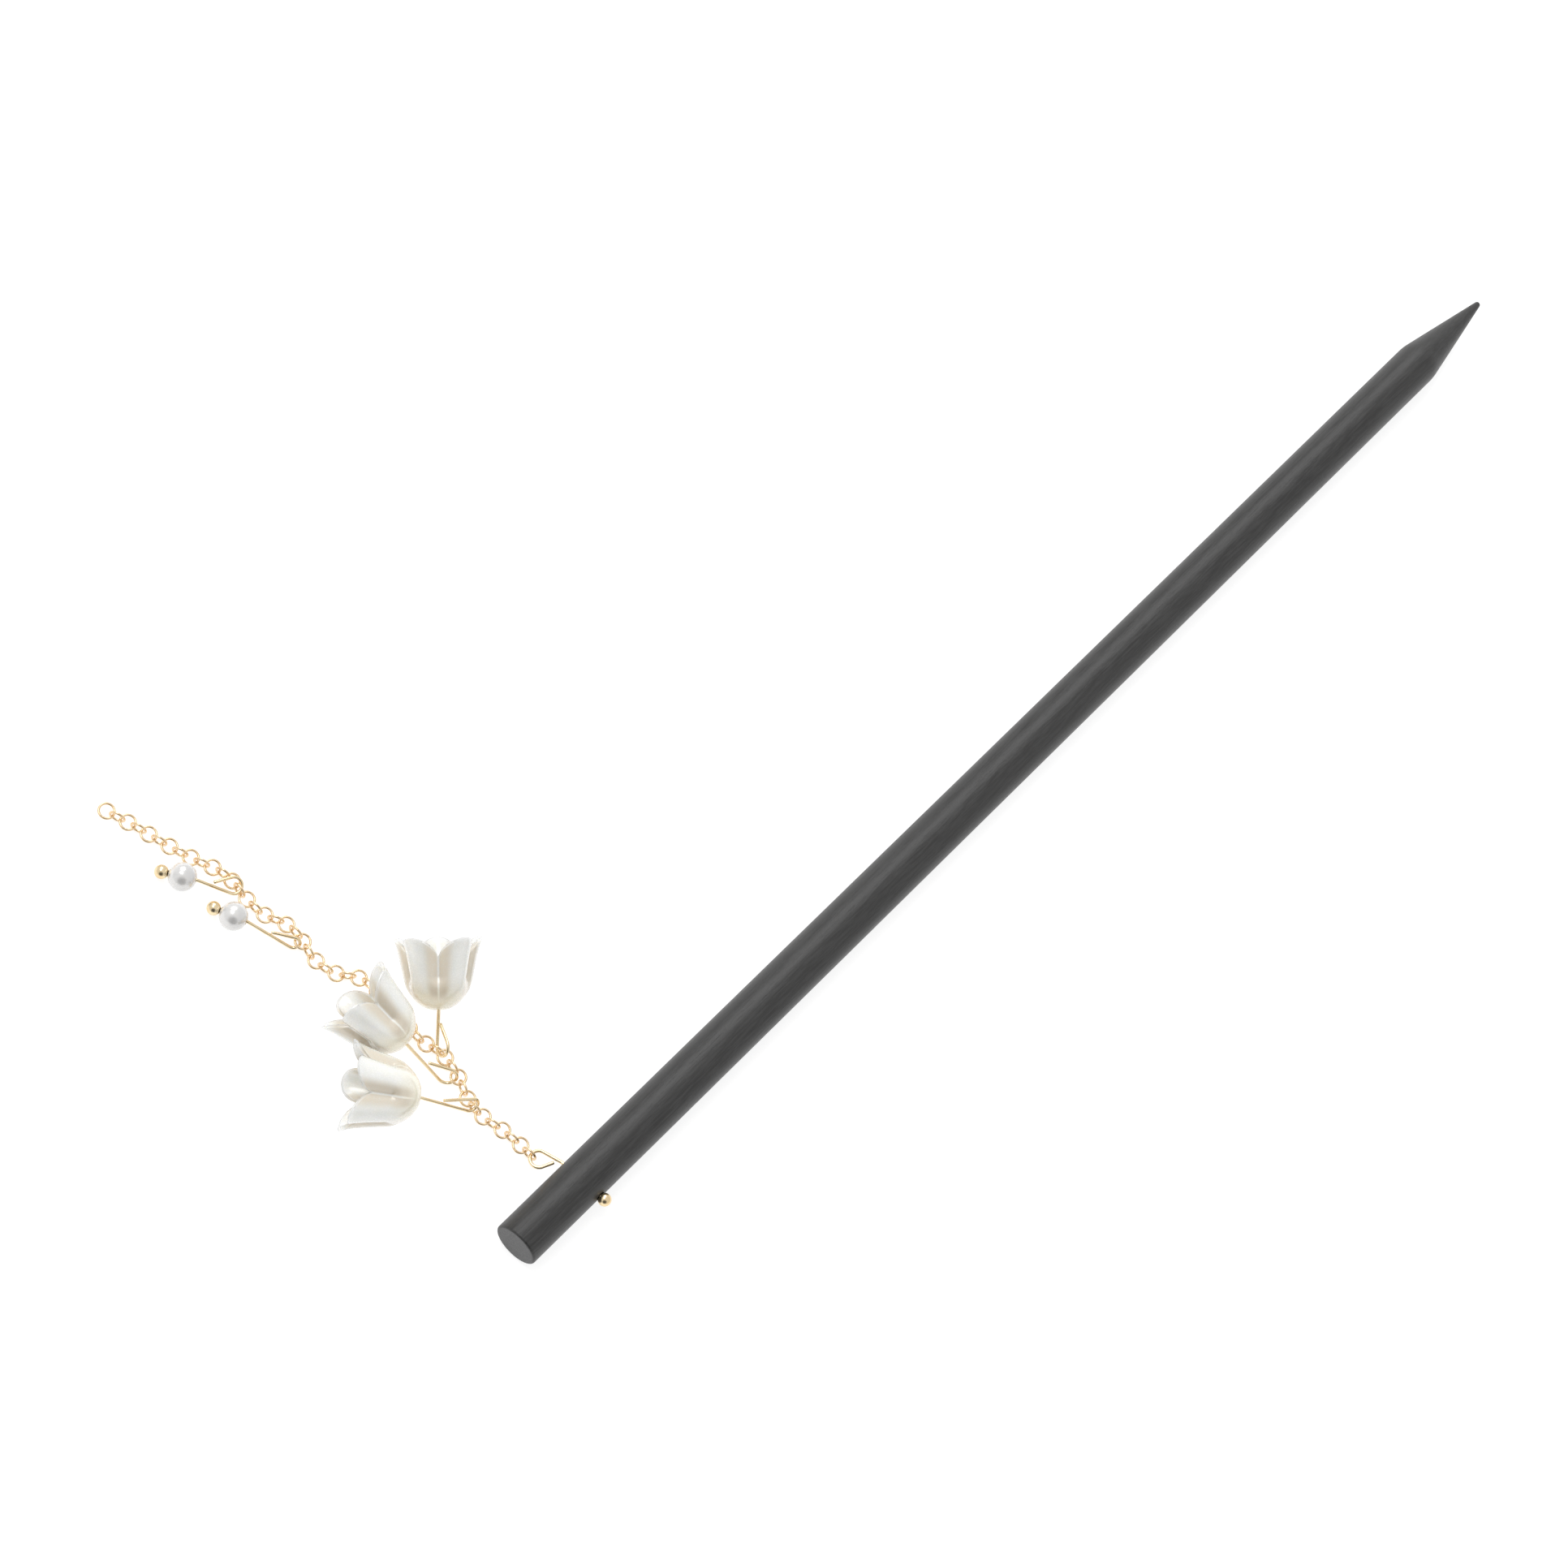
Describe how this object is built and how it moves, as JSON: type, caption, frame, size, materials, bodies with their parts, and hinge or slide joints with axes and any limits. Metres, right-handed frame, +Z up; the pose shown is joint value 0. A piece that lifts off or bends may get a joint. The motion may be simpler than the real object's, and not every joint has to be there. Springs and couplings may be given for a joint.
{
  "type": "hair stick",
  "caption": "Turned wooden hair stick with a gold chain that carries bell-shaped flower drops and pearl drops on ball-headed pins.",
  "frame": {"origin": "on the stick's axis, in the plane of its butt face", "axes": "+X along the stick to its tip, +Y towards the side on which the chain lies, +Z up from the surface the ornament lies on"},
  "size_m": [0.2065, 0.0757, 0.0112],
  "materials": {
    "stained_wood": "charcoal stained, satin, fine lengthwise grain",
    "gold_wire": "polished light gold plate",
    "gold_chain": "polished light gold plate",
    "pearly_flower": "pearlescent gloss over milky resin",
    "pearl": "pearl lustre"
  },
  "bodies": {
    "root": {"stick": "stained_wood", "stick_pin": "gold_wire", "chain": "gold_chain", "flower_1": "pearly_flower", "flower_2": "pearly_flower", "flower_3": "pearly_flower", "flower_pin_1": "gold_wire", "flower_pin_2": "gold_wire", "flower_pin_3": "gold_wire", "pearl_1": "pearl", "pearl_2": "pearl", "pearl_pin_1": "gold_wire", "pearl_pin_2": "gold_wire"}
  },
  "joints": []
}
